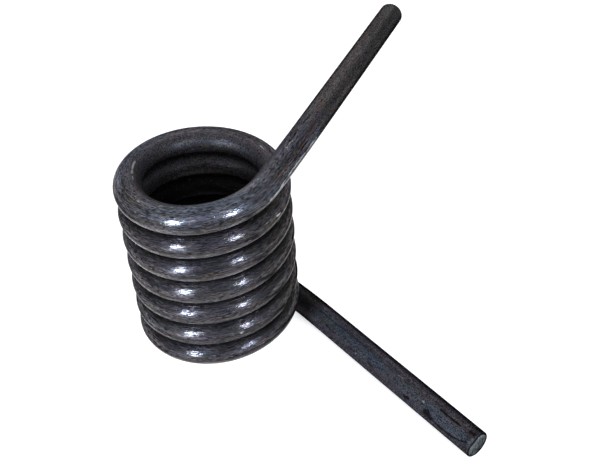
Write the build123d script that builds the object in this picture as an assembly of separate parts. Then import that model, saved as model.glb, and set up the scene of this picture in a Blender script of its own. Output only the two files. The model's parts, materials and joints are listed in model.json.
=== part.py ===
from build123d import *
from math import asin, atan2, cos, degrees, pi, radians, sin
import os

# Heavy torsion spring: one round steel wire wound into a close right-hand
# coil, with both ends run out as straight legs. Lengths are in mm and angles
# in degrees. The coil's axis is Z, the plane that the lower leg lies on is
# Z = 0, and +X halves the angle between the legs as seen down the axis.

# wire and coil
WIRE_D = 12.7
COIL_MEAN_D = 66.1       # across the coil, wire centre to wire centre
TURN_GAP = 0.75          # open space between neighbouring turns
FULL_TURNS = 7           # winding turns before the legs' headings are taken off
LEG_ANGLE = 117.0        # between the legs' headings, seen down the axis

# run-outs, where the winding fades into a leg that is square to the axis
RUN_OUT = 40.0           # length of wire that each fade takes
LOWER_FADE = 8.2         # angle that the lower run-out still winds through
UPPER_FADE = 3.4

# straight bars past the run-outs, and their cut ends
LOWER_BAR = 105.3
UPPER_BAR = 119.0
LOWER_BEVEL = 0.3        # narrow bevel left by the cut
UPPER_ROUND = 2.4        # rolled-over rim

# sizes that follow
wire_r = WIRE_D / 2
coil_r = COIL_MEAN_D / 2
pitch = WIRE_D + TURN_GAP
lead_angle = degrees(atan2(pitch, 2 * pi * coil_r))
lower_heading = -LEG_ANGLE / 2
upper_heading = LEG_ANGLE / 2
start_angle = lower_heading + 90 + LOWER_FADE
end_angle = upper_heading - 90 - UPPER_FADE + 360 * FULL_TURNS
rise = pitch * (end_angle - start_angle) / 360


def direction(heading, climb=0.0):
    """Unit vector at a heading from +X towards +Y, climbing out of the level."""
    level = cos(radians(climb))
    return Vector(level * cos(radians(heading)), level * sin(radians(heading)), sin(radians(climb)))


def on_coil(angle, height):
    """Point of the coil's centre line at an angle round the axis."""
    return Vector(coil_r * cos(radians(angle)), coil_r * sin(radians(angle)), height)


def run_out(start, winding, leg):
    """Centre line of a run-out: the arc of length RUN_OUT that leaves start
    along the winding and turns evenly until it points along the leg."""
    bend = 2 * asin((leg - winding).length / 2)
    chord = 2 * RUN_OUT / bend * sin(bend / 2)
    return TangentArc(start, start + (winding + leg).normalized() * chord, tangent=winding)


def wire_along(path):
    """The wire's round section carried along one stretch of its centre line."""
    section = Plane(origin=path @ 0, z_dir=path % 0) * Circle(wire_r)
    return sweep(section, path=path, is_frenet=True)


def bar(start, leg, length, finish, size):
    """Straight round bar, its far rim bevelled or rounded by finish."""
    section = Plane(origin=start, z_dir=leg) * Circle(wire_r)
    solid = extrude(section, amount=length, dir=leg)
    far_face = solid.faces().sort_by(Axis(start, leg))[-1]
    return finish(far_face.edges(), size)


# directions of the wire as it leaves each end of the coil, and of the legs
lower_leg = direction(lower_heading)
upper_leg = direction(upper_heading)
winding_back = direction(start_angle - 90, -lead_angle)
winding_on = direction(end_angle + 90, lead_angle)

# the coil starts as far above the lower leg as its run-out drops
drop = -(run_out(Vector(0, 0, 0), winding_back, lower_leg) @ 1).Z
coil_foot = wire_r + drop
coil_line = Pos(0, 0, coil_foot) * Rot(0, 0, start_angle) * Helix(pitch, rise, coil_r)
lower_bend = run_out(on_coil(start_angle, coil_foot), winding_back, lower_leg)
upper_bend = run_out(on_coil(end_angle, coil_foot + rise), winding_on, upper_leg)

# one length of wire from cut end to cut end
spring = wire_along(coil_line) + wire_along(lower_bend) + wire_along(upper_bend)
spring += bar(lower_bend @ 1, lower_leg, LOWER_BAR, chamfer, LOWER_BEVEL)
spring += bar(upper_bend @ 1, upper_leg, UPPER_BAR, fillet, UPPER_ROUND)

os.makedirs("parts", exist_ok=True)
export_step(spring.solid(), "parts/torsion_spring.step")
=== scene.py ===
"""Heavy torsion spring: one round steel wire, wound into a close coil, with both ends run out as legs.

Run as a script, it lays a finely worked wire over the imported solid, gives it an oil-tempered finish and sets
up a plain studio. Everything is in metres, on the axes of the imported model: the coil's axis is Z, and the
floor is Z = 0. Places on the wire are given as a distance along it from the lower cut end, and as an angle
round its section, where 0 faces away from the coil's axis, 90 degrees faces up and -90 faces down.
"""

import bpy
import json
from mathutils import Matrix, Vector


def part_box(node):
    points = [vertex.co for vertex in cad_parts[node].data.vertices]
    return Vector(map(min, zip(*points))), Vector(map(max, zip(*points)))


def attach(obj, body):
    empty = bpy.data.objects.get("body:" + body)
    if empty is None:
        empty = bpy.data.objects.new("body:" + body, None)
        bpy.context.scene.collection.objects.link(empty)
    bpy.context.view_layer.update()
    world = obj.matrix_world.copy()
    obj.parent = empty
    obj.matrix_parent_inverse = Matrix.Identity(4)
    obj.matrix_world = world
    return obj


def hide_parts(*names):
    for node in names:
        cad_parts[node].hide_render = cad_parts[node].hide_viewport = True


bl_info = {
    "name": "Torsion Spring",
    "version": (1, 0, 0),
    "blender": (4, 5, 0),
    "location": "View3D > Sidebar > Torsion Spring",
    "description": "Makes a heavy torsion spring in oil-tempered wire, with a plain studio round it",
    "category": "Object",
}

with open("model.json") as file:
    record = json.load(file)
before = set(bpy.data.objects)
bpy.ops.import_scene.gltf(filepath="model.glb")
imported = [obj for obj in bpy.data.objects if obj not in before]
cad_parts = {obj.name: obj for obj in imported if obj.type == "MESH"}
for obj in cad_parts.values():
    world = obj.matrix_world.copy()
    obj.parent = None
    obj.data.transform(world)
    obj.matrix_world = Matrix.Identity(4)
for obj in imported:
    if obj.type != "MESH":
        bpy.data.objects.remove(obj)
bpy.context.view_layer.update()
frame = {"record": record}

import json
from math import radians

import bpy
import numpy as np
from mathutils import Euler, Vector

NODE = "torsion_spring"
BODY = "root"

MM = 0.001
LOWER_BEVEL = 0.3 * MM
UPPER_ROUND = 2.4 * MM


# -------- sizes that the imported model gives

def mount(name):
    """The record's mount of that name."""
    return next(m for m in frame["record"]["mounts"] if m["name"] == name)


def wire_diameter():
    return 2 * mount("lower_leg")["dims"]["r_mm"] * MM


def coil_diameter():
    """Across the coil between wire centres: twice the box's reach along -X, less one wire."""
    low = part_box(NODE)[0]
    return -2 * low.x - wire_diameter()


def bar_length(name, finish):
    """Straight length of that leg: its full-width pin, and the bevel or rounding past it."""
    return mount(name)["dims"]["length_mm"] * MM + finish


def angle_between_legs():
    """Between the legs' headings, which lie evenly either side of +X."""
    axis = mount("upper_leg")["axis"]
    return 2 * np.arctan2(axis[1], axis[0])


# -------- what a user would change

def number(name, description, default, **settings):
    return bpy.props.FloatProperty(name=name, description=description, default=default, **settings)


def distance(*facts):
    return number(*facts, min=0, unit="LENGTH", subtype="DISTANCE", precision=5)


def angle(*facts):
    return number(*facts, unit="ROTATION", subtype="ANGLE")


def share(*facts):
    return number(*facts, min=0, max=1, subtype="FACTOR")


def strength(*facts):
    return number(*facts, min=0)


def colour(name, description, default):
    return bpy.props.FloatVectorProperty(
        name=name, description=description, default=default, size=3, min=0, max=1, subtype="COLOR"
    )


class SpringSizes(bpy.types.PropertyGroup):
    wire: distance("Wire", "Diameter of the round wire", wire_diameter())
    coil: distance("Coil", "Across the coil, between wire centres", coil_diameter())
    gap: distance("Turn Gap", "Open space between neighbouring turns", 0.75 * MM)
    turns: number("Turns", "Full turns, before the legs' headings are taken off", 7)
    leg_angle: angle("Leg Angle", "Between the legs, seen down the axis", angle_between_legs())
    run_out: distance("Run-out", "Wire over which the winding fades into a straight leg", 40 * MM)
    lower_fade: angle("Lower Fade", "Winding that the lower run-out still holds", radians(8.2))
    upper_fade: angle("Upper Fade", "Winding that the upper run-out still holds", radians(3.4))
    lower_bar: distance("Lower Bar", "Straight length of the lower leg", bar_length("lower_leg", LOWER_BEVEL))
    upper_bar: distance("Upper Bar", "Straight length of the upper leg", bar_length("upper_leg", UPPER_ROUND))
    lower_bevel: distance("Lower Bevel", "Bevel left round the lower cut", LOWER_BEVEL)
    roll: distance("Sheared Roll", "How far the shear has drawn over the cut's top edge", 0.9 * MM)
    upper_round: distance("Upper Round", "Rolled rim of the upper end", UPPER_ROUND)
    relief: distance("Relief", "Depth of the draw lines and pits", 0.02 * MM)


class SteelFinish(bpy.types.PropertyGroup):
    scale: colour("Scale", "Charcoal oxide that covers the wire", (0.090, 0.083, 0.096))
    temper: colour("Temper Blue", "Cool tone of the thin oxide on the upper faces", (0.076, 0.088, 0.114))
    plum: colour("Temper Plum", "Violet-brown oxide beside the tempered band", (0.088, 0.080, 0.101))
    film: colour("Oil Film", "Old oil on the lower faces and the upper leg", (0.090, 0.083, 0.085))
    patina: colour("Patina", "Brown of light rust", (0.108, 0.078, 0.067))
    # The soot colour also paints the shade in the hollows and the cut face's dark rim.
    soot: colour("Soot", "Burnt oil in the hollows", (0.012, 0.010, 0.010))
    # This steel colour also paints highlights: the glints among its strokes.
    bare_and_glints: colour("Bare Steel", "Steel where the scale is knocked off", (0.45, 0.45, 0.44))
    cut: colour("Cut Face", "Sheared steel of the lower end", (0.17, 0.18, 0.188))
    roughness: share("Roughness", "Satin of the oxide, where it is dullest", 0.35)


class StudioLook(bpy.types.PropertyGroup):
    floor: colour("Floor", "Colour of the floor", (0.6, 0.6, 0.6))
    floor_glow: share("Floor Glow", "How much of the floor's white is its own", 1.0)
    sky: colour("Surroundings", "Colour of the light from all round", (1.0, 1.0, 1.0))
    sky_bright: strength("Bright Side", "Strength of the surroundings behind and above", 0.85)
    sky_dim: strength("Dim Side", "Strength of the surroundings in front and below", 0.06)
    backdrop: strength("Backdrop", "Strength of the white past the floor", 1.0)
    key: colour("Key Light", "Colour of the softboxes in front", (0.76, 0.91, 1.0))
    fill: colour("Fill Light", "Colour of the wide panels in front", (0.86, 0.86, 1.0))
    left_strength: strength("Left Box", "Radiance of the left softbox", 32.0)
    right_strength: strength("Right Box", "Radiance of the right softbox", 28.0)
    left_fill: strength("Left Fill", "Radiance of the panel above the left box", 0.8)
    left_low: strength("Left Low", "Radiance of the panel under the left box", 9.0)
    right_fill: strength("Right Fill", "Radiance of the panel above the right box", 0.8)
    top_strength: strength("Top Box", "Radiance of the overhead softbox", 0.35)
    back_strength: strength("Back Box", "Radiance of the wide softbox behind", 0.9)


# -------- marks laid one by one
#
# A stroke is its width in mm, its strength and its places, each as (mm along the wire, degrees round it).

SOOT_STROKES = (
    # lower leg: the edge of a lifted flake, a black score and stains
    (0.8, 1.0, (2.5, 140), (5, 152), (9, 161), (13, 166), (18, 166), (22, 162)),
    (2.4, 1.0, (23, 161), (26.5, 156)),
    (0.9, 0.9, (22, 156), (26, 138)),
    (0.8, 1.0, (9, 105), (12, 106), (21, 105)),
    (1.2, 1.0, (0.6, 97), (4, 98)),
    (1.2, 0.7, (0.4, 60), (0.4, 90), (0.4, 125), (0.4, 150)),
    (1.6, 0.7, (31, 157), (33, 154)),
    (1.6, 0.9, (37.5, 158), (40, 162)),
    (2.0, 0.75, (60, 150), (68, 150)),
    (1.6, 0.75, (74, 152), (79, 152)),
    (2.0, 0.75, (88, 143), (96, 139)),
    (1.5, 0.6, (79.5, 95), (81.5, 90)),
    (1.6, 0.7, (109, 97), (111, 93)),
    (2.0, 0.5, (13, 88), (20, 86)),
    # upper leg: scores on top and a dull band along its right side
    (1.0, 0.9, (1583, 93), (1592, 92)),
    (1.0, 0.8, (1562, 46), (1574, 50)),
    (1.0, 0.8, (1572, 28), (1590, 33)),
    (1.0, 0.8, (1584, 44), (1594, 48)),
    (1.0, 0.8, (1596, 90), (1605, 89)),
    (1.0, 0.6, (1620, 74), (1646, 74)),
    (3.0, 0.45, (1552, 27), (1580, 33), (1640, 30), (1700, 28)),
    (1.2, 0.6, (1568, 38), (1582, 47)),
    (1.2, 0.6, (1590, 35), (1600, 33)),
    # top turn
    (1.3, 0.5, (1487, 108), (1500, 112)),
    (1.5, 0.5, (1527, 30), (1529, 27)),
    (1.2, 0.5, (1512, 18), (1520, 3)),
    # turns below it, from the sixth down
    (1.6, 0.5, (1350, 22), (1352, 5)),
    (2.5, 0.6, (1136, 28), (1142, 22)),
    (1.4, 0.7, (901, 25), (903, 19)),
    (1.8, 0.8, (944, 16), (948, 10)),
    (2.6, 0.8, (712, 24), (718, 20)),
    (1.8, 0.6, (722, -6), (723, -14)),
    (1.2, 0.7, (466, 48), (478, 49)),
    (2.2, 0.9, (530, 12), (538, 24)),
    (1.6, 0.8, (437, 22), (441, 24)),
    (1.6, 0.6, (645, 24), (650, 24)),
)

BARE_AND_GLINT_STROKES = (
    (1.2, 0.9, (29.5, 124), (30.5, 122)),
    # painted highlights: the glint along the upper leg's lower edge, where it leaves the coil
    (1.2, 0.85, (1553, -7), (1563, -4)),
    (1.2, 0.87, (1560, 1), (1575, 5), (1597, 0)),
    # a painted highlight: a streak on the top turn beside its right-hand highlight
    (1.4, 0.66, (1537, 48), (1549, 56)),
    (0.9, 0.7, (1563, 40), (1572, 44)),
    (0.9, 0.7, (1571, 34), (1579, 38)),
    (0.9, 0.7, (1583, 38), (1590, 41)),
    (0.8, 0.7, (1466, 20), (1469, 14)),
    (0.8, 0.7, (1478, 4), (1482, -4)),
    (0.9, 0.7, (1494, 44), (1501, 46)),
    (0.9, 0.6, (1520, 6), (1524, 0)),
    (1.0, 0.7, (1530, -2), (1536, -6)),
    (1.0, 0.7, (0.3, 75), (1.5, 80)),
    (1.4, 0.8, (1578, 86), (1584, 84)),
    (1.0, 0.75, (1584, 88), (1591, 89)),
    (1.4, 0.75, (1653, 94), (1656, 97)),
    (1.0, 0.7, (1590, 42), (1599, 46)),
    (1.1, 0.95, (1496, 77), (1497.5, 75)),
    (1.0, 0.92, (1464, 112), (1474, 118)),
    (0.9, 0.86, (1476, 120), (1482, 121)),
    (1.0, 0.93, (1386, 97), (1389, 94)),
    (1.0, 0.85, (1507, 90), (1508.5, 91)),
    (1.0, 0.5, (1505, 22), (1508, 18)),
    (1.2, 0.5, (1540, -2), (1548, -8)),
    (1.0, 0.5, (1552, -4), (1560, -12)),
    (1.0, 0.92, (1348, 8), (1350, 5)),
    (0.8, 0.8, (1353, -9), (1355, -12)),
    (0.9, 0.8, (1144, 61), (1147, 59)),
    (2.2, 0.5, (1141, 0), (1149, -2)),
    (1.5, 0.9, (493, 6), (494.5, 6)),
    (0.9, 0.6, (466, 42), (478, 45)),
    (0.9, 0.5, (676, 46), (700, 44)),
)

RUST_STROKES = (
    (2.4, 0.9, (1610, 78), (1618, 76)),
    (2.2, 0.9, (1560, 34), (1571, 40)),
    (2.0, 0.9, (1576, 36), (1586, 42)),
    (2.0, 0.85, (1592, 40), (1602, 44)),
    (1.8, 0.8, (1470, 18), (1476, 8)),
    (1.6, 0.8, (1484, 0), (1490, -8)),
    (1.8, 0.7, (62, 150), (68, 149)),
    (2.0, 0.6, (90, 92), (96, 88)),
    (2.6, 0.6, (76, 146), (92, 150)),
    (2.0, 0.6, (1081, 36), (1085, 38)),
    (1.8, 0.6, (1502, 22), (1506, 26)),
    (2.0, 0.7, (712, 22), (719, 20)),
    (1.6, 0.6, (1344, 12), (1354, 4)),
    (2.5, 0.6, (1490, 106), (1502, 112)),
)

BLUE_STROKES = (
    (3.4, 0.8, (4, 136), (10, 141), (20, 133), (27, 130)),
    (3.2, 0.6, (27, 130), (60, 124)),
    (3.4, 0.85, (58, 118), (80, 114), (104, 110)),
    (5.0, 0.6, (1440, 84), (1495, 84)),
    (4.2, 0.9, (1500, 84), (1544, 83)),
    (4.2, 0.5, (1544, 83), (1572, 82)),
    (4.0, 0.55, (1556, 100), (1600, 104), (1650, 110)),
    (2.6, 0.45, (1545, 62), (1592, 68)),
    (3.2, 0.6, (1496, 34), (1550, 36)),
    (3.4, 0.6, (1486, 12), (1556, 12)),
    (2.6, 0.6, (1500, 64), (1552, 66)),
    # the cyan of the painted glint along the upper leg's lower edge
    (3.0, 0.9, (1552, 0), (1600, 2)),
)


# -------- the wire's shape

RINGS = 1330  # cross-sections along the wire
POINTS = 72  # points round each cross-section
CAP_RINGS = 16  # rings across each end face
BEVEL_STEPS = 4  # rings over the lower end's bevel, with the face's rim
ROUND_STEPS = 8  # the same over the upper end's rolled rim
CAP_CROWDING = 0.8  # power that spreads the rings of an end face
DOME = 0.05  # how far an end face stands out in its middle, as a share of its corner
END_CROWDING = 0.3  # how much closer the cross-sections lie near both ends
RELIEF_SEED = 7
DRAW_LINES = (30, 1.2)  # features of the relief, in rings along the wire by points round it
PITS = (2, 2)
UNEVENNESS = (60, 12)
PIT_LEVEL = 1.2  # spreads above the mean from which the surface is pitted
RELIEF_REACH = 0.8  # share of the radius at which the relief starts
MARKS_REACH = 0.97  # and at which the marks do
ROLL_REACH = 0.6  # share of the radius at which the roll starts
ROLL_LENGTH = 4  # lengths of the roll over which it fades along the wire
ROLL_BAND = (115, 50)  # degrees round the wire: where the roll is most, and its reach
CUT_EDGE = 1.02  # reach at which the sheared face ends, before its shaded edges are taken off
# the cut face's dark rim reaches further in at these edges: painted shade at the rolled top edge and painted
# shadow along the lower edge, each as degrees round the wire, their reach and a share of the radius
TOP_EDGE_SHADE = (118, 50, 0.26)
LOWER_EDGE_SHADOW = (-40, 60, 0.16)


def unit(v):
    return v / np.linalg.norm(v)


def heading(turn, climb=0.0):
    """Unit vector at that angle from +X round Z, climbing at that angle."""
    return np.array([np.cos(climb) * np.cos(turn), np.cos(climb) * np.sin(turn), np.sin(climb)])


def straight(s, start, way):
    """A line: the start plus s times its direction."""
    return start + s[:, None] * way, np.broadcast_to(way, (len(s), 3))


def bend(s, start, way, leave, length):
    """An arc of that length that starts along one direction and leaves along another. Its radius is the
    length over the angle between them. A point is the start plus radius times (sine along, one less cosine
    across).
    """
    turned = 2 * np.arcsin(np.linalg.norm(leave - way) / 2)
    radius = length / turned
    across = unit(leave - way * np.dot(leave, way))
    a = (s / radius)[:, None]
    place = start + radius * (np.sin(a) * way + (1 - np.cos(a)) * across)
    return place, np.cos(a) * way + np.sin(a) * across


def centre_line(sizes):
    """The wire's centre line as a function of distance from the lower cut end: a straight bar, an arc, a
    helix at the coil's lead angle, an arc and a straight bar. Returns that function and the whole length.
    """
    radius = sizes.coil / 2
    pitch = sizes.wire + sizes.gap
    lead = np.arctan2(pitch, 2 * np.pi * radius)
    low_way, high_way = heading(-sizes.leg_angle / 2), heading(sizes.leg_angle / 2)
    first = -sizes.leg_angle / 2 + np.pi / 2 + sizes.lower_fade
    last = sizes.leg_angle / 2 - np.pi / 2 - sizes.upper_fade + 2 * np.pi * sizes.turns
    down_coil, up_coil = heading(first - np.pi / 2, -lead), heading(last + np.pi / 2, lead)
    end = np.array([sizes.run_out])
    drop = -bend(end, np.zeros(3), down_coil, low_way, sizes.run_out)[0][0, 2]
    foot = sizes.wire / 2 + drop
    level, climb = np.cos(lead), np.sin(lead)
    coil_length = (last - first) * radius / level

    def helix(s):
        """Radius times cosine and sine of the angle wound, and a height that goes with the distance."""
        a = first + s * level / radius
        place = np.stack([radius * np.cos(a), radius * np.sin(a), foot + s * climb], 1)
        way = np.stack([-np.sin(a) * level, np.cos(a) * level, np.full_like(a, climb)], 1)
        return place, way

    coil_start, coil_end = helix(np.array([0.0]))[0][0], helix(np.array([coil_length]))[0][0]
    low_bend_end = bend(end, coil_start, down_coil, low_way, sizes.run_out)[0][0]
    high_bend_end = bend(end, coil_end, up_coil, high_way, sizes.run_out)[0][0]
    marks = np.cumsum([sizes.lower_bar, sizes.run_out, coil_length, sizes.run_out, sizes.upper_bar])

    def at(s):
        """Places and directions of travel at distances s. Past either end the bars go straight on."""
        out_low, way_low = straight(marks[0] - s, low_bend_end, low_way)
        bend_low, way_bend_low = bend(marks[1] - s, coil_start, down_coil, low_way, sizes.run_out)
        coil, way_coil = helix(s - marks[1])
        bend_high, way_bend_high = bend(s - marks[2], coil_end, up_coil, high_way, sizes.run_out)
        out_high, way_high = straight(s - marks[3], high_bend_end, high_way)
        part = np.searchsorted(marks[:4], s)[None, :, None]
        places = np.stack([out_low, bend_low, coil, bend_high, out_high])
        ways = np.stack([-way_low, -way_bend_low, way_coil, way_bend_high, way_high])
        return np.take_along_axis(places, part, 0)[0], np.take_along_axis(ways, part, 0)[0]

    return at, marks[-1]


def grain(rng, shape, long, wide):
    """Seeded smooth noise on the (along, around) grid, of unit spread: white noise whose waves fade by a
    bell curve, with features about long rows by wide columns. It closes round the wire.
    """
    waves = np.fft.rfft2(rng.standard_normal(shape))
    u = np.fft.fftfreq(shape[0])[:, None] * long
    v = np.fft.rfftfreq(shape[1])[None, :] * wide
    field = np.fft.irfft2(waves * np.exp(-2 * (np.pi ** 2) * (u ** 2 + v ** 2) / 4), shape)
    return field / field.std()


def end_profile(radius, corner, rounded):
    """A cut end as (set back, reach): from the middle of the face out to its rim, then over a bevel or a
    quarter-round of the corner's size, as cosines and sines of an angle. Reach is a share of the wire's
    radius. The face is a shallow dome: one less the square of the share of the way out.
    """
    face = np.linspace(0, 1, CAP_RINGS) ** CAP_CROWDING * (radius - corner)
    dome = DOME * corner * (1 - (face / (radius - corner)) ** 2)
    if rounded:
        turn = np.linspace(0, np.pi / 2, ROUND_STEPS)[1:]
        back, out = corner * (1 - np.cos(turn)), corner * np.sin(turn)
    else:
        back = out = corner * np.linspace(0, 1, BEVEL_STEPS)[1:]
    return np.r_[-dome, back], np.r_[face, radius - corner + out] / radius


def wire_grid(sizes):
    """Rings of points: the centre line plus reach times the radius, turned round each section. A section's
    first direction is level and faces away from the axis, and its second is square to that and the wire,
    facing up. Returns centres, directions of travel, unit spokes, distances along, angles round and reaches.
    """
    at, length = centre_line(sizes)
    radius = sizes.wire / 2
    low_back, low_reach = end_profile(radius, sizes.lower_bevel, rounded=False)
    high_back, high_reach = end_profile(radius, sizes.upper_round, rounded=True)
    even = np.linspace(0, 1, RINGS)
    share = even - END_CROWDING * np.sin(2 * np.pi * even) / (2 * np.pi)
    body = (low_back[-1] + share * (length - high_back[-1] - low_back[-1]))[1:-1]
    along = np.r_[low_back, body, length - high_back[::-1]]
    reach = np.r_[low_reach, np.ones(len(body)), high_reach[::-1]]
    around = np.linspace(-np.pi, np.pi, POINTS, endpoint=False)
    place, way = at(along)
    outward = np.cross(way, (0, 0, 1))
    outward /= np.linalg.norm(outward, axis=1)[:, None]
    upward = np.cross(outward, way)
    rim = np.cos(around)[None, :, None] * outward[:, None] + np.sin(around)[None, :, None] * upward[:, None]
    return place, way, rim, along, around, reach


def surface_relief(rng, shape):
    """Draw lines along the wire, shallow scale pits and a slow unevenness, as a field of unit depth."""
    lines = grain(rng, shape, *DRAW_LINES)
    pits = -np.clip(grain(rng, shape, *PITS) - PIT_LEVEL, 0, None)
    slow = grain(rng, shape, *UNEVENNESS)
    return 0.6 * lines + 0.8 * pits + 0.8 * slow


def eased(x, low, high):
    """0 below low, 1 above high and 3 t squared less 2 t cubed between them. Low may be the greater."""
    t = np.clip((x - low) / (high - low), 0, 1)
    return t * t * (3 - 2 * t)


def bell(x, middle, reach):
    """A bell curve: e to the power of minus the square of the distance from the middle in reaches."""
    return np.exp(-((x - middle) / reach) ** 2)


def stroked(along, around, radius, strokes):
    """How near each grid point is to a stroke, with the wire's surface laid flat as distance along by arc
    round: the stroke's strength times one less a quarter of the distance from it in half-widths. It falls
    evenly, so a line finer than the grid keeps its place between points. The nearest stroke wins.
    """
    amount = np.zeros((len(along), len(around)))
    for width, power, *places in strokes:
        reach = 2 * width * MM
        for (s0, a0), (s1, a1) in zip(places, places[1:]):
            rows = np.flatnonzero((along > min(s0, s1) * MM - reach) & (along < max(s0, s1) * MM + reach))
            run = np.array([(s1 - s0) * MM, radians(a1 - a0) * radius])
            ds = along[rows, None] - s0 * MM
            da = (np.mod(around - radians(a0) + np.pi, 2 * np.pi) - np.pi)[None] * radius
            share = np.clip((ds * run[0] + da * run[1]) / (run @ run), 0, 1)
            off = np.hypot(ds - share * run[0], da - share * run[1]) / reach
            amount[rows] = np.maximum(amount[rows], power * np.clip(1 - off, 0, 1))
    return amount


# -------- where the finish changes, and where light and shade are painted on it
#
# All in degrees. A side of the coil is an angle from +X. A band is its middle and reach round the wire, and
# the share by which the scale is lighter there. A patch is a side of the coil and its reach, then a band.
# The bands and patches that change how light the scale is are painted light and shade: lighter where light
# and reflections fall, darker where shade falls.

SIDE_REACH = 28
# the side with a painted rim light on the turns' lower flank
RIM_LIT_SIDE = 212
LIT_SIDE = 243
NEAREST_SIDE = 266
SHADED_SIDE = 306
OILED_SIDE = 330

# Painted light and shade on the coil: shade along its outer face and shoulder, a painted reflection of the
# floor on the belly below the middle, up to a limit, a rim light on one flank, and light on the inner side
# seen inside the coil.
OUTER_FACE = (0, 26, -0.5)
SHOULDER = (60, 28, -0.08)
BELLY = (-42, 13, 10.5)
BELLY_LIMIT = 7.5
RIM_LIGHT_FLANK = (-18, 14, 1.1)
BACK_RIM = (118, 13, 1.4)  # seen inside the coil, more so higher up

# Painted light and shade on the top turn: light on its crown, inner rim and lit ridge, shade on its shaded
# ridge.
TOP_CROWN = (41, 15, 1.5)  # the top turn, which lies open
TOP_INNER_RIM = (105, 14, 0.75)
TOP_LIT_RIDGE = (78, 10, 0.3)
TOP_SHADED_RIDGE = (70, 9, -0.4)

# Painted light and shade on the legs: a change of each leg's whole tone, shade along their edges and bands
# round them. The wire just behind the lower cut is darker.
UPPER_LEG_LIGHTENING = 0.25
UPPER_LEG_BANDS = ((0, 22, -0.7), (132, 12, -0.5))
LOWER_LEG_LIGHTENING = -0.24
LOWER_LEG_BANDS = ((54, 16, -0.32), (98, 9, -0.22), (121, 9, 0.2), (168, 22, -0.3))
CUT_END_DARKENING = 0.4
CUT_END_BAND = (2, 3)  # mm along the wire: middle and reach

PLUM_FLANK = (46, 9)  # the coil's violet band round the wire, away from its nearest side
COIL_SHEEN = 0.35
LEG_SHEEN = 0.14

# Patches of painted light and shade, first on the turns below the top one, then on the top turn.
LOWER_PATCHES = (
    (243, 11, 13, 12, 0.9),
    (248, 10, 58, 9, -0.6),
    (248, 8, -20, 8, -0.55),
    (306, 17, 62, 12, -0.65),
    (308, 18, -9, 8, -0.55),
    (214, 9, 11, 8, 1.3),
    (212, 10, -22, 8, 1.4),
    (198, 8, 18, 8, 0.4),
    (230, 8, -10, 8, -0.4),
    (264, 8, 17, 7, -0.35),
    (240, 26, 72, 6, 0.8),
    (280, 28, 31, 6, 0.3),
    (230, 8, 41, 7, 0.5),
    (310, 8, 41, 6, 0.5),
    (302, 14, -33, 8, 0.9),
)
TOP_PATCHES = (
    (246, 8, 44, 9, -0.35),
    (262, 8, 3, 12, -0.25),
    (246, 7, 2, 9, 0.4),
    (272, 12, -22, 10, -0.5),
    (200, 12, 44, 10, -0.55),
    (214, 8, -5, 8, -0.6),
    (268, 10, 38, 9, 0.45),
    (262, 7, 50, 6, 0.3),
    (254, 12, 19, 8, -0.3),
    (278, 8, 76, 8, -0.35),
    (306, 15, 113, 11, 0.6),
    (275, 10, 108, 10, 0.3),
    (240, 12, 107, 9, -0.25),
    (214, 8, 100, 8, -0.4),
)


class Winding:
    """Where each row of the grid lies on the wire, as columns of shares from 0 to 1: the legs, the coil
    between them, its top turn and how far along the row is.
    """

    def __init__(self, sizes, along):
        self.sizes = sizes
        self.along = along[:, None]
        self.turn = np.hypot(np.pi * sizes.coil, sizes.wire + sizes.gap)
        self.start = sizes.lower_bar + sizes.run_out
        self.end = along[-1] - sizes.upper_bar - sizes.run_out
        self.upper_leg = eased(self.along, self.end + 10 * MM, self.end + 60 * MM)
        self.lower_leg = eased(self.along, self.start - 10 * MM, self.start - 50 * MM)
        self.coil = (1 - self.upper_leg) * (1 - self.lower_leg)
        self.top = self.below_end(1.05, 0.85)
        self.height = np.clip(self.along / along[-1], 0, 1)

    def below_end(self, low, high):
        """A smooth step from 0 to 1 between two places that many turns before the coil's upper end."""
        return eased(self.along, self.end - low * self.turn, self.end - high * self.turn)

    def side(self, middle, reach=SIDE_REACH):
        """A bell curve round the coil: 1 where the winding passes that side, lower either way from it."""
        lead = np.arctan2(self.sizes.wire + self.sizes.gap, np.pi * self.sizes.coil)
        wound = (self.along - self.start) * np.cos(lead) / (self.sizes.coil / 2)
        place = np.degrees(-self.sizes.leg_angle / 2 + np.pi / 2 + self.sizes.lower_fade + wound)
        return bell(np.mod(place - middle + 180, 360) - 180, 0, reach)


def band(degrees, middle, reach, change):
    """A change that is whole at one angle round the wire and fades as a bell curve either way from it."""
    return change * bell(degrees, middle, reach)


def bands(degrees, rows):
    """The sum of several bands."""
    return sum(band(degrees, *row) for row in rows)


def patches(winding, degrees, rows):
    """The sum of several bands, each also a bell curve round the coil."""
    return sum(winding.side(side, reach) * band(degrees, *row) for side, reach, *row in rows)


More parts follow.
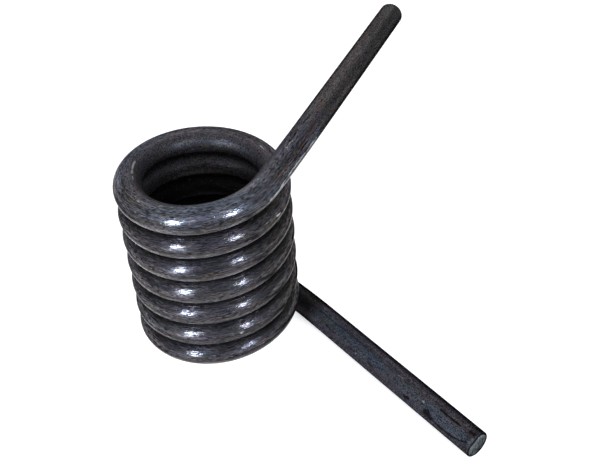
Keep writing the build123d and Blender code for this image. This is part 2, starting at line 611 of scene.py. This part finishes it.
def hollows(winding, around):
    """Painted shade, where shade falls: between neighbouring turns, inside the coil, more so lower down, and
    on the lower leg beside the coil. Each is a product of smooth steps along the wire and round it.
    """
    s, start, end, turn = winding.along, winding.start, winding.end, winding.turn
    up, inward = np.sin(around)[None], -np.cos(around)[None]
    on_coil = eased(s, start - 20 * MM, start) * eased(s, end + 20 * MM, end)
    above = on_coil * eased(s, end - turn + 10 * MM, end - turn - 20 * MM)
    below = on_coil * eased(s, start + turn - 10 * MM, start + turn + 20 * MM)
    open_sides = 0.14 * (winding.side(RIM_LIT_SIDE) + winding.side(OILED_SIDE))
    upper_gap = above * eased(up + open_sides, 0.84, 1.0) * (1 - 0.7 * eased(inward, 0, 0.4))
    lower_gap = below * eased(up, -0.7, -0.98)
    inside = on_coil * eased(inward, 0.1, 0.7) * winding.below_end(1.65, 2.1)
    under = on_coil * eased(inward, 0.3, 0.8) * eased(up, 0.15, -0.3)
    bar = winding.sizes.lower_bar
    beside = eased(s, bar - 5 * MM, bar + 5 * MM) * eased(s, start + 30 * MM, start)
    # painted shade where shade falls: between turns, inside the coil, under its turns and beside it on the leg
    painted_shade = 0.75 * (upper_gap + lower_gap) + 0.9 * inside + 0.75 * under + 0.75 * beside
    return np.clip(painted_shade, 0, 0.96)


def painted_light_and_shade(winding, degrees):
    """Painted light and shade, as how light the scale is against its plain tone: one plus its share of the
    bands, for each zone, and all multiplied. The coil has painted shade along its outer face and a painted
    reflection of the floor below it, more so higher up, with a painted rim light on one side. Its top turn
    lies open and has painted light on its crown. The legs' edges have painted shade, and the wire behind the
    lower cut is darker.
    """
    coil, top, height = winding.coil, winding.top, winding.height
    rim_lit = winding.side(RIM_LIT_SIDE)
    belly = band(degrees, *BELLY) * height * (1 + 0.8 * rim_lit - 0.4 * top)
    belly = belly + band(degrees, *RIM_LIGHT_FLANK) * height * rim_lit
    face = band(degrees, *OUTER_FACE) + band(degrees, *SHOULDER) * (1 - top)
    crown = (
        band(degrees, *TOP_CROWN)
        + band(degrees, *TOP_INNER_RIM) * winding.side(NEAREST_SIDE, 2 * SIDE_REACH)
        + band(degrees, *TOP_LIT_RIDGE) * winding.side(LIT_SIDE, 1.5 * SIDE_REACH)
        + band(degrees, *TOP_SHADED_RIDGE) * winding.side(SHADED_SIDE)
    )
    light = 1 + coil * (np.minimum(belly, BELLY_LIMIT) + crown * top + face)
    light = light * (1 + coil * (1 - top) * band(degrees, *BACK_RIM) * height ** 4)
    light = light * (1 + coil * (1 - top) * patches(winding, degrees, LOWER_PATCHES))
    light = light * (1 + coil * top * patches(winding, degrees, TOP_PATCHES))
    light = light * (1 + winding.upper_leg * (UPPER_LEG_LIGHTENING + bands(degrees, UPPER_LEG_BANDS)))
    light = light * (1 + winding.lower_leg * (LOWER_LEG_LIGHTENING + bands(degrees, LOWER_LEG_BANDS)))
    return light * (1 - CUT_END_DARKENING * bell(winding.along / MM, *CUT_END_BAND))


def mattness(winding, around):
    """How matt the scale is: the greatest of the coil's inside, the upper leg and the lower leg."""
    inside = eased(-np.cos(around), 0.1, 0.5)[None] * (1 - winding.upper_leg)
    return np.maximum(inside, np.maximum(0.6 * winding.upper_leg, 0.4 * winding.lower_leg))


def warmth(winding, degrees):
    """How warm the scale is: the greatest of the coil's lower half, its oiled side, its bore, its rim-lit
    side and the upper leg towards its end.
    """
    coil, top = winding.coil, winding.top
    inward = -np.cos(np.radians(degrees))
    lower_half = 0.55 * eased(degrees, 15, -25) * eased(inward, 0.3, 0)
    oiled = 0.7 * winding.side(OILED_SIDE) * (1 - top)
    bore = (0.4 - 0.3 * top) * eased(inward, -0.1, 0.3)
    rim_lit = 0.4 * winding.side(RIM_LIT_SIDE)
    on_coil = coil * np.maximum(np.maximum(lower_half, oiled), np.maximum(bore, rim_lit))
    return np.maximum(on_coil, 0.6 * winding.upper_leg ** 4)


def violet_cast(winding, degrees):
    """How violet the scale is: along both sides of the lower leg, and in a band on the lower turns."""
    leg = winding.lower_leg * (eased(degrees, 136, 160) + eased(degrees, 94, 74))
    flanks = 1 - winding.side(NEAREST_SIDE)
    return leg + winding.coil * (1 - winding.top) * flanks * bell(degrees, *PLUM_FLANK)


def edge_sheen(winding, degrees):
    """How much the scale shines when seen edge-on, which is most on the lower half of the coil's turns."""
    below = eased(degrees, 4, -16) * eased(degrees, -90, -60)
    on_coil = winding.coil * (COIL_SHEEN + (1 - COIL_SHEEN) * below)
    return on_coil + LEG_SHEEN * (winding.upper_leg + winding.lower_leg)


# -------- the wire's mesh

def closed_tube(rings, points):
    """Faces of a grid of rings that is closed round the wire and meets a single point at both ends, wound so
    that they face outwards. Vertex 0 is the first pole and the last vertex is the other.
    """
    start = 1 + points * np.arange(rings - 1)[:, None]
    here, there = np.arange(points), np.roll(np.arange(points), -1)
    quads = np.stack([start + here, start + there, start + points + there, start + points + here], -1)
    quads = quads.reshape(-1, 4)[:, ::-1]
    last = 1 + rings * points
    first_fan = np.stack([np.zeros(points, int), 1 + here, 1 + there], -1)
    last_fan = np.stack([np.full(points, last), last - points + there, last - points + here], -1)
    return quads, np.concatenate([first_fan, last_fan])


def write_mesh(name, points, quads, triangles):
    """A mesh from whole arrays: the corners of the four-cornered faces, then those of the three-cornered."""
    mesh = bpy.data.meshes.new(name)
    mesh.vertices.add(len(points))
    mesh.vertices.foreach_set("co", points.astype(np.float32).ravel())
    loops = np.r_[quads.ravel(), triangles.ravel()].astype(np.int32)
    counts = np.r_[np.full(len(quads), 4), np.full(len(triangles), 3)]
    mesh.loops.add(len(loops))
    mesh.loops.foreach_set("vertex_index", loops)
    mesh.polygons.add(len(counts))
    mesh.polygons.foreach_set("loop_start", (np.cumsum(counts) - counts).astype(np.int32))
    mesh.polygons.foreach_set("use_smooth", np.ones(len(counts), bool))
    mesh.update(calc_edges=True)
    mesh.validate()
    return mesh


def carry(mesh, name, *parts):
    """Puts three of the grid's values on the mesh, as a vector of that name at each point."""
    values = with_poles(np.stack(parts, -1)).astype(np.float32)
    mesh.attributes.new(name, "FLOAT_VECTOR", "POINT").data.foreach_set("vector", values.ravel())


def with_poles(grid):
    """The grid's values with its first and last rows, which are single points, kept once each."""
    return np.concatenate([grid[0, :1], grid[1:-1].reshape(-1, grid.shape[-1]), grid[-1, :1]])


def make_wire(sizes):
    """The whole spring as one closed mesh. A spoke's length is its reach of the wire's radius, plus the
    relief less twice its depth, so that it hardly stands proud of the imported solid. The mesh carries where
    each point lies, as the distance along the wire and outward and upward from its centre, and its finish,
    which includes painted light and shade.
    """
    place, way, rim, along, around, reach = wire_grid(sizes)
    degrees = np.degrees(around)[None]
    relief = surface_relief(np.random.default_rng(RELIEF_SEED), (len(along), POINTS)) * sizes.relief
    full = np.clip((reach - RELIEF_REACH) / (1 - RELIEF_REACH), 0, 1)[:, None]
    radius = reach[:, None] * sizes.wire / 2 + relief * full - 2 * sizes.relief * full
    rolled = sizes.roll * bell(degrees, *ROLL_BAND) * eased(reach, ROLL_REACH, 1)[:, None]
    rolled = rolled * eased(along, ROLL_LENGTH * sizes.roll, 0)[:, None]
    points = place[:, None] + radius[..., None] * rim + rolled[..., None] * way[:, None]
    quads, triangles = closed_tube(len(along) - 2, POINTS)
    mesh = write_mesh("spring_wire", with_poles(points), quads, triangles)
    rows = np.broadcast_to(along[:, None], radius.shape)
    carry(mesh, "unrolled", rows, radius * np.cos(around), radius * np.sin(around))

    def marked(strokes):
        return stroked(along, around, sizes.wire / 2, strokes)

    sides = (reach > MARKS_REACH)[:, None]
    carry(mesh, "marks", *(marked(s) * sides for s in (SOOT_STROKES, BARE_AND_GLINT_STROKES, RUST_STROKES)))
    winding = Winding(sizes, along)
    # painted shade: the cut face's dark rim reaches further in at its top and lower edges
    shaded_edge = band(degrees, *TOP_EDGE_SHADE) + band(degrees, *LOWER_EDGE_SHADOW)
    cut = np.clip(CUT_EDGE - reach[:, None] - shaded_edge, 0, 1) * (along < sizes.lower_bevel)[:, None]
    # fields carries the temper blue, the painted shade in the hollows and the cut face
    carry(mesh, "fields", marked(BLUE_STROKES), hollows(winding, around), cut)
    # painted light and shade, then how matt and how warm the scale is
    painted_light_matt_warm = painted_light_and_shade(winding, degrees), mattness(winding, around), warmth(winding, degrees)
    carry(mesh, "painted_light_matt_warm", *painted_light_matt_warm)
    violet, sheen = violet_cast(winding, degrees), edge_sheen(winding, degrees)
    unused = np.zeros_like(violet)
    carry(mesh, "casts", violet, sheen, unused)
    return mesh


# -------- materials

class Tree:
    """Adds nodes to a material or world tree and links their inputs."""

    def __init__(self, owner):
        owner.use_nodes = True
        self.tree = owner.node_tree
        self.tree.nodes.clear()
        self.count = 0

    def add(self, kind, inputs=None, **settings):
        """A node of that kind. An input is a value for the socket, or the output socket that feeds it."""
        node = self.tree.nodes.new(kind)
        node.location = (220 * (self.count % 8), -260 * (self.count // 8))
        self.count += 1
        for key, value in settings.items():
            setattr(node, key, value)
        for key, value in (inputs or {}).items():
            socket = node.inputs[key]
            if isinstance(value, bpy.types.NodeSocket):
                self.tree.links.new(value, socket)
            else:
                socket.default_value = value
        return node

    def maths(self, operation, *values, clamp=False):
        node = self.add("ShaderNodeMath", dict(enumerate(values)), operation=operation, use_clamp=clamp)
        return node.outputs[0]

    def times(self, first, second, clamp=False):
        return self.maths("MULTIPLY", first, second, clamp=clamp)

    def mixed(self, share, first, second, blend="MIX"):
        """The first colour with a share of the second laid over it."""
        inputs = {0: share, 6: first, 7: second}
        return self.add("ShaderNodeMix", inputs, data_type="RGBA", blend_type=blend).outputs[2]

    def grey(self, value):
        """A colour whose three channels are all the value."""
        return self.add("ShaderNodeCombineXYZ", {0: value, 1: value, 2: value}).outputs[0]

    def ramp(self, value, low, high, out_low=0.0, out_high=1.0):
        """The value moved from one range to another and clamped to it, eased at both ends."""
        inputs = {0: value, 1: low, 2: high, 3: out_low, 4: out_high}
        return self.add("ShaderNodeMapRange", inputs, interpolation_type="SMOOTHSTEP").outputs[0]

    def seen(self, mirrored):
        """1 to the camera and to passing rays, and that share of it to mirrored rays."""
        path = self.add("ShaderNodeLightPath").outputs
        seen = self.maths("ADD", path["Is Camera Ray"], self.times(path["Is Glossy Ray"], mirrored))
        return self.maths("ADD", seen, path["Is Transmission Ray"], clamp=True)


def rgba(c):
    return (*c, 1.0)


# Noises of the steel: size, detail, stretch along the wire, outward and upward, shift and roughness.
SPECKLE = (0.3 * MM, 1, (7, 1, 1), (4, 1, 7), 0.6)
STREAK = (0.5 * MM, 3, (22, 1, 1), (1, 5, 2), 0.6)
MOTTLE = (2.2 * MM, 3, (2.2, 1, 1), (2, 2, 5), 0.6)
BLOTCH = (9 * MM, 3, (3, 1, 1), (0, 0, 0), 0.5)
WARM_PATCH = (3 * MM, 4, (3, 1, 1), (3, 1, 2), 0.65)
STAIN = (1.6 * MM, 3, (5, 1, 1), (7, 4, 2), 0.65)
FINE_GRAIN = (0.38 * MM, 1, (1.2, 1, 1), (2, 6, 4), 0.6)
PIT = (0.9 * MM, 1, (1.5, 1, 1), (9, 3, 1), 0.5)
NICK = (1.1 * MM, 2, (3, 1, 1), (5, 8, 3), 0.5)
SHEAR = (0.9 * MM, 3, (1, 1, 3), (6, 2, 1), 0.6)

# Levels between which a mark or a noise comes in.
SOOT_EDGE = (0.66, 0.8)
BARE_EDGE = (0.66, 0.84)
RUST_EDGE = (0.6, 0.9)
BLUE_EDGE = (0.2, 0.9)
PIT_EDGE = (0.68, 0.78)
NICK_EDGE = (0.7, 0.8)
GLOSS_EDGE = (0.66, 0.78)
CLEARED_EDGE = (0.1, 0.15)
CUT_RIM = (0.0, 0.004)

# How a noise shades the scale: from its low and high level to how light the scale is there.
STREAK_SHADE = (0.34, 0.66, 0.6, 1.45)
MOTTLE_SHADE = (0.3, 0.7, 0.9, 1.1)
BLOTCH_SHADE = (0.3, 0.7, 0.85, 1.15)
SPECKLE_SHADE = (0.32, 0.68, 0.25, 1.85)
FINE_SHADE = (0.35, 0.65, 0.2, 1.9)
SHEAR_SHADE = (0.3, 0.7, 0.6, 1.4)
FINE_WHERE_MATT = (0.1, 0.4)  # levels of mattness

# By height or reach on the section: how much cast or brown there is, and how light the cut face is, which is
# painted shade that darkens it towards the bottom.
CAST_BY_HEIGHT = (-2 * MM, 1 * MM, 0.1, 0.85)
CAST_BY_REACH = (-1 * MM, 3 * MM, 0.1, 1.0)
BROWN_BY_HEIGHT = (4.5 * MM, -1 * MM, 0.1, 0.6)
CUT_SHADE_BY_HEIGHT = (-5 * MM, 4 * MM, 0.6, 1.1)

STAIN_SPREAD = (0.55, 0.2, 0.65)  # how far a stain moves each of red, green and blue
STAIN_FLOOR = (0.725, 0.9, 0.675)  # what is left of each where the stain is darkest
DIRT_ROUGHNESS = 0.5
GLOSS_DEPTH = 0.26  # how much less rough the scale is where it is glossy
MATT_RISE = 0.2  # how much rougher it is where it is matt
METAL = 0.8
BUMP_STRENGTH = 0.4
BUMP_DEPTH = 0.2 * MM


class SteelTree(Tree):
    """The steel's nodes, starting with what the mesh carries and the noises that are used more than once."""

    def __init__(self, material):
        super().__init__(material)
        self.place, (_, self.outward, self.upward) = self.carried("unrolled")
        _, (self.soot, self.bare_and_glints, self.rust) = self.carried("marks")
        # the second of these is painted shade in the hollows
        _, (self.blue, self.hollow, self.cut) = self.carried("fields")
        # the first of these is painted light and shade
        _, (self.light, self.matt, self.warmth) = self.carried("painted_light_matt_warm")
        _, (self.violet, self.sheen, _) = self.carried("casts")
        self.speckle = self.noise(*SPECKLE)
        self.streak = self.noise(*STREAK)
        self.mottle = self.noise(*MOTTLE)
        self.raggedness = self.maths("ADD", self.times(self.mottle, 0.6), self.times(self.speckle, 0.4))

    def carried(self, name):
        """What the mesh carries under that name, as a vector and as its three parts."""
        vector = self.add("ShaderNodeAttribute", attribute_name=name).outputs["Vector"]
        return vector, self.add("ShaderNodeSeparateXYZ", {0: vector}).outputs

    def noise(self, size, detail, stretch, shift, roughness, output="Fac"):
        """Noise whose features are about that size in metres, drawn out by stretch along each axis. Its Fac
        is one value and its Color three that vary each on its own.
        """
        inputs = {"Vector": self.place, "Location": shift, "Scale": tuple(1 / (size * s) for s in stretch)}
        moved = self.add("ShaderNodeMapping", inputs).outputs[0]
        inputs = {"Vector": moved, "Scale": 1.0, "Detail": detail, "Roughness": roughness}
        return self.add("ShaderNodeTexNoise", inputs).outputs[output]

    def met(self, amount, edge, swing=0.9):
        """A mark's amount plus noise about its middle, taken between two levels, so that the mark's edge is
        ragged at a scale finer than the mesh.
        """
        swung = self.times(self.maths("SUBTRACT", self.raggedness, 0.5), swing)
        return self.ramp(self.maths("ADD", amount, swung), *edge)


def scale_tone(t, finish):
    """Charcoal scale, with its violet, blue, warm and brown casts each laid over the last, times stains that
    move red, green and blue apart.
    """
    warm = t.noise(*WARM_PATCH)
    cast = t.times(t.ramp(warm, 0.6, 0.35), t.ramp(t.upward, *CAST_BY_HEIGHT))
    cast = t.times(cast, t.ramp(t.outward, *CAST_BY_REACH))
    plum = t.times(t.violet, t.ramp(t.mottle, 0.3, 0.6, 0.6, 1.3), clamp=True)
    tone = t.mixed(t.maths("MAXIMUM", plum, cast), rgba(finish.scale), rgba(finish.plum))
    tone = t.mixed(t.met(t.blue, BLUE_EDGE, 0.5), tone, rgba(finish.temper))
    filmed = t.times(t.warmth, t.ramp(t.mottle, 0.3, 0.6, 1.2, 2.0), clamp=True)
    tone = t.mixed(filmed, tone, rgba(finish.film))
    brown = t.times(t.ramp(warm, 0.45, 0.68, 0.05), t.ramp(t.upward, *BROWN_BY_HEIGHT))
    tone = t.mixed(t.maths("MAXIMUM", brown, t.met(t.rust, RUST_EDGE)), tone, rgba(finish.patina))
    inputs = {0: t.noise(*STAIN, output="Color"), 1: STAIN_SPREAD, 2: STAIN_FLOOR}
    stain = t.add("ShaderNodeVectorMath", inputs, operation="MULTIPLY_ADD").outputs[0]
    return t.mixed(1.0, tone, stain, "MULTIPLY")


def scale_shade(t):
    """How light the scale is: streaks times mottle times blotches, calmed where it is matt, then times a
    fine grit and the painted light and shade that the mesh carries.
    """
    shade = t.times(t.ramp(t.streak, *STREAK_SHADE), t.ramp(t.mottle, *MOTTLE_SHADE))
    shade = t.times(shade, t.ramp(t.noise(*BLOTCH), *BLOTCH_SHADE))
    calm = t.times(t.matt, 0.8)
    shade = t.maths("ADD", t.times(shade, t.maths("SUBTRACT", 1.0, calm)), calm)
    fine = t.ramp(t.noise(*FINE_GRAIN), *FINE_SHADE)
    grit = t.mixed(t.ramp(t.matt, *FINE_WHERE_MATT), t.ramp(t.speckle, *SPECKLE_SHADE), fine)
    # times the painted light and shade that the mesh carries
    return t.times(t.times(shade, grit), t.light)


def with_cut_face(t, finish, tone, on_face):
    """The tone with the sheared lower end over it: a dark rim, which reaches further in at the top and lower
    edges as painted shade, and inside it streaked steel with painted shade that makes it darker towards the
    bottom.
    """
    tone = t.mixed(on_face, tone, rgba(finish.soot))
    sheared = t.noise(*SHEAR)
    swung = t.times(t.maths("SUBTRACT", sheared, 0.5), 0.12)
    cleared = t.ramp(t.maths("ADD", t.cut, swung), *CLEARED_EDGE)
    # shear streaks, times painted shade that darkens the face towards the bottom
    bright = t.times(t.ramp(sheared, *SHEAR_SHADE), t.ramp(t.upward, *CUT_SHADE_BY_HEIGHT))
    return t.mixed(cleared, tone, t.mixed(1.0, rgba(finish.cut), t.grey(bright), "MULTIPLY"))


def scale_roughness(t, finish, dirt_and_shade):
    """Satin, glossier where speckle and streak meet, rougher where the scale is matt, dull under soot, pits
    and painted shade.
    """
    glossy = t.ramp(t.maths("ADD", t.speckle, t.times(t.streak, 0.5)), *GLOSS_EDGE)
    glossy = t.times(glossy, t.ramp(t.matt, 0.0, 1.0, 1.0, 0.3))
    rough = t.maths("ADD", t.times(glossy, -GLOSS_DEPTH), finish.roughness)
    rough = t.maths("ADD", rough, t.times(t.matt, MATT_RISE))
    return t.mixed(dirt_and_shade, rough, rgba((DIRT_ROUGHNESS,) * 3))


def scale_bump(t, dirt_and_shade):
    """Speckle and streaks as relief, calmer where the scale is matt, and sunk under soot, pits and painted
    shade.
    """
    height = t.maths("ADD", t.speckle, t.times(t.streak, 0.6))
    height = t.times(height, t.ramp(t.matt, 0.0, 1.0, 1.0, 0.2))
    height = t.maths("SUBTRACT", height, t.times(dirt_and_shade, 0.5))
    inputs = {"Height": height, "Strength": BUMP_STRENGTH, "Distance": BUMP_DEPTH}
    return t.add("ShaderNodeBump", inputs).outputs[0]


def steel(finish):
    """Oil-tempered wire: scale with painted light and shade, then soot, pits and painted shade in the hollows
    over it, then nicks and scrapes that show the steel under the scale, among them painted highlights.
    """
    material = bpy.data.materials.new("oil_tempered_steel")
    t = SteelTree(material)
    # the scale's colour times its shade, which holds the painted light and shade
    tone = t.mixed(1.0, scale_tone(t, finish), t.grey(scale_shade(t)), "MULTIPLY")
    pits = t.ramp(t.noise(*PIT), *PIT_EDGE)
    # painted shade in the hollows, broken by mottle, which with soot marks and pits takes the soot colour
    hollow = t.times(t.hollow, t.ramp(t.mottle, 0.25, 0.5, 0.8, 1))
    dirt_and_shade = t.maths("MAXIMUM", t.maths("MAXIMUM", t.met(t.soot, SOOT_EDGE), hollow), pits)
    tone = t.mixed(dirt_and_shade, tone, rgba(finish.soot))
    nicks = t.ramp(t.noise(*NICK), *NICK_EDGE)
    # steel shown by nicks and scrapes, and the painted highlights among the strokes
    bare_and_glints = t.maths("MAXIMUM", t.met(t.bare_and_glints, BARE_EDGE), t.times(nicks, 0.6))
    tone = t.mixed(bare_and_glints, tone, rgba(finish.bare_and_glints))
    on_face = t.ramp(t.cut, *CUT_RIM)
    clean = t.maths("SUBTRACT", 1.0, t.maths("MAXIMUM", dirt_and_shade, on_face))
    shader = t.add(
        "ShaderNodeBsdfPrincipled",
        {
            "Base Color": with_cut_face(t, finish, tone, on_face),
            "Metallic": METAL,
            "Specular IOR Level": 0.0,
            "Roughness": scale_roughness(t, finish, dirt_and_shade),
            "Specular Tint": t.grey(t.times(t.sheen, clean)),
            "Normal": scale_bump(t, dirt_and_shade),
        },
    )
    t.add("ShaderNodeOutputMaterial", {"Surface": shader.outputs[0]})
    return material


GLOW_CENTRE = (0.02, 0.12, 0.0)  # middle of the floor that the camera sees
GLOW_NEAR = 0.28  # metres from there at which the floor's mirrored white starts to fade
GLOW_FAR = 0.5
FAR_GLOW = 0.35  # what is left of that white further out
CONTACT = 0.02  # metres within which the spring darkens the floor's own white
SKY_HEIGHT = 62  # degrees above the horizon of the bright side's middle, due +Y
SKY_EDGE = 0.62  # cosine of the angle from there at which the bright side ends
MIRRORED = 0.08  # share of the white backdrop that the steel mirrors


def floor_finish(look):
    """A pale floor. Part of its white is its own to the camera and to passing rays, and near the spring to
    mirrored rays as well.
    """
    material = bpy.data.materials.new("studio_floor")
    t = Tree(material)
    place = t.add("ShaderNodeTexCoord").outputs["Object"]
    away = t.add("ShaderNodeVectorMath", {0: place, 1: GLOW_CENTRE}, operation="DISTANCE").outputs["Value"]
    seen = t.seen(t.ramp(away, GLOW_NEAR, GLOW_FAR, 1.0, FAR_GLOW))
    open_sky = t.add("ShaderNodeAmbientOcclusion", {"Distance": CONTACT}, samples=8).outputs["AO"]
    seen = t.times(seen, t.ramp(open_sky, 0.0, 0.6, 0.5, 1.0))
    glow = t.add("ShaderNodeEmission", {"Strength": t.times(seen, look.floor_glow)})
    matt = t.add("ShaderNodeBsdfDiffuse", {"Color": rgba(look.floor)})
    both = t.add("ShaderNodeAddShader", {0: glow.outputs[0], 1: matt.outputs[0]})
    t.add("ShaderNodeOutputMaterial", {"Surface": both.outputs[0]})
    return material


def surroundings(look):
    """Light from all round, brighter behind and above: it goes with how far a direction leans that way. The
    camera sees a pale backdrop there, and mirrored rays a share of it.
    """
    world = bpy.data.worlds.new("surroundings")
    t = Tree(world)
    way = t.add("ShaderNodeTexCoord").outputs["Generated"]
    lean = t.add("ShaderNodeVectorMath", {0: way, 1: compass(0, SKY_HEIGHT)}, operation="DOT_PRODUCT")
    bright = t.ramp(lean.outputs["Value"], SKY_EDGE, 1.0, look.sky_dim, look.sky_bright)
    paler = t.times(t.seen(MIRRORED), t.maths("SUBTRACT", look.backdrop, bright))
    back = t.add("ShaderNodeBackground", {"Color": rgba(look.sky), "Strength": t.maths("ADD", bright, paler)})
    t.add("ShaderNodeOutputWorld", {"Surface": back.outputs[0]})
    return world


# -------- studio

CAMERA_PLACE = Vector((0.009841, -0.357016, 0.369289))
CAMERA_HEADING = radians(9.546)  # clockwise from +Y
CAMERA_DOWN = radians(38.134)
CAMERA_ROLL = radians(-1.268)
CAMERA_LENS = 59.889
CAMERA_SENSOR = 36.0
CAMERA_SHIFT = (-0.0940, -0.0982)
AIM = Vector((0.02, 0.0, 0.05))  # where the lamps point
FLOOR_REACH = 12.0  # metres from the middle of the floor to its sides


def in_scene(name, data):
    """A new object in the scene, at the origin."""
    made = bpy.data.objects.new(name, data)
    bpy.context.scene.collection.objects.link(made)
    return made


def compass(bearing, elevation):
    """Unit vector towards a bearing clockwise from +Y, in degrees, at that height above the horizon."""
    b, e = radians(bearing), radians(elevation)
    return Vector((np.sin(b) * np.cos(e), np.cos(b) * np.cos(e), np.sin(e)))


def softbox(name, bearing, elevation, away, width, height, radiance, tint=(1, 1, 1)):
    """A rectangle lamp that faces the spring. Its power is radiance times area times pi."""
    data = bpy.data.lights.new(name, "AREA")
    data.shape = "RECTANGLE"
    data.size, data.size_y = width, height
    data.energy = radiance * width * height * np.pi
    data.color = tint
    lamp = in_scene(name, data)
    lamp.location = AIM + away * compass(bearing, elevation)
    lamp.rotation_euler = (AIM - lamp.location).to_track_quat("-Z", "Y").to_euler()
    lamp.visible_camera = False


def make_camera():
    data = bpy.data.cameras.new("camera")
    data.sensor_fit = "HORIZONTAL"
    data.sensor_width = CAMERA_SENSOR
    data.lens = CAMERA_LENS
    data.shift_x, data.shift_y = CAMERA_SHIFT
    data.clip_start = 0.01
    camera = in_scene("camera", data)
    turn = Euler((0, 0, -CAMERA_HEADING)).to_matrix()
    tilt = Euler((np.pi / 2 - CAMERA_DOWN, 0, 0)).to_matrix()
    roll = Euler((0, 0, CAMERA_ROLL)).to_matrix()
    camera.matrix_world = (turn @ tilt @ roll).to_4x4()
    camera.location = CAMERA_PLACE
    bpy.context.scene.camera = camera


# -------- operators and panel

class SPRING_OT_wire(bpy.types.Operator):
    """Make the wound wire, with both legs and their ends, in oil-tempered steel"""

    bl_idname = "torsion_spring.wire"
    bl_label = "Wire"
    bl_options = {"REGISTER", "UNDO"}

    def execute(self, context):
        mesh = make_wire(context.scene.spring_sizes)
        mesh.materials.append(steel(context.scene.spring_finish))
        wire = in_scene("spring_wire", mesh)
        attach(wire, BODY)
        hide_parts(NODE)
        return {"FINISHED"}


class SPRING_OT_studio(bpy.types.Operator):
    """Make the floor, the soft lamps, the surroundings and the camera"""

    bl_idname = "torsion_spring.studio"
    bl_label = "Studio"
    bl_options = {"REGISTER", "UNDO"}

    def execute(self, context):
        look = context.scene.studio_look
        mesh = bpy.data.meshes.new("floor")
        corners = [(x * FLOOR_REACH, y * FLOOR_REACH, 0) for x, y in ((-1, -1), (1, -1), (1, 1), (-1, 1))]
        mesh.from_pydata(corners, [], [(0, 1, 2, 3)])
        mesh.materials.append(floor_finish(look))
        floor = in_scene("floor", mesh)
        softbox("left_box", -138, 14, 1.0, 0.21, 0.34, look.left_strength, look.key)
        softbox("right_box", 153, 17, 1.0, 0.14, 0.34, look.right_strength, look.key)
        softbox("left_low", -138, 3, 1.0, 0.3, 0.12, look.left_low, look.key)
        softbox("left_fill", -135, 36, 1.05, 0.8, 0.4, look.left_fill, look.fill)
        softbox("right_fill", 155, 36, 1.05, 0.5, 0.4, look.right_fill, look.fill)
        softbox("top_box", 0, 88, 1.0, 0.5, 0.5, look.top_strength)
        softbox("back_box", -10, 15, 1.2, 1.8, 0.5, look.back_strength)
        context.scene.world = surroundings(look)
        context.scene.view_settings.view_transform = "Standard"
        make_camera()
        return {"FINISHED"}


class SPRING_PT_panel(bpy.types.Panel):
    """Sizes, finish and studio, with a button for each piece"""

    bl_idname = "SPRING_PT_panel"
    bl_label = "Torsion Spring"
    bl_space_type = "VIEW_3D"
    bl_region_type = "UI"
    bl_category = "Torsion Spring"

    def draw(self, context):
        layout = self.layout
        for group, operator in (
            (context.scene.spring_sizes, None),
            (context.scene.spring_finish, SPRING_OT_wire),
            (context.scene.studio_look, SPRING_OT_studio),
        ):
            box = layout.box()
            for key in group.__annotations__:
                box.prop(group, key)
            if operator:
                box.operator(operator.bl_idname)


CLASSES = (SpringSizes, SteelFinish, StudioLook, SPRING_OT_wire, SPRING_OT_studio, SPRING_PT_panel)
GROUPS = {"spring_sizes": SpringSizes, "spring_finish": SteelFinish, "studio_look": StudioLook}


def register():
    for cls in CLASSES:
        bpy.utils.register_class(cls)
    for name, group in GROUPS.items():
        setattr(bpy.types.Scene, name, bpy.props.PointerProperty(type=group))


def unregister():
    for name in GROUPS:
        delattr(bpy.types.Scene, name)
    for cls in reversed(CLASSES):
        bpy.utils.unregister_class(cls)


def main():
    register()
    bpy.ops.torsion_spring.studio()
    bpy.ops.torsion_spring.wire()


if __name__ == "__main__":
    main()
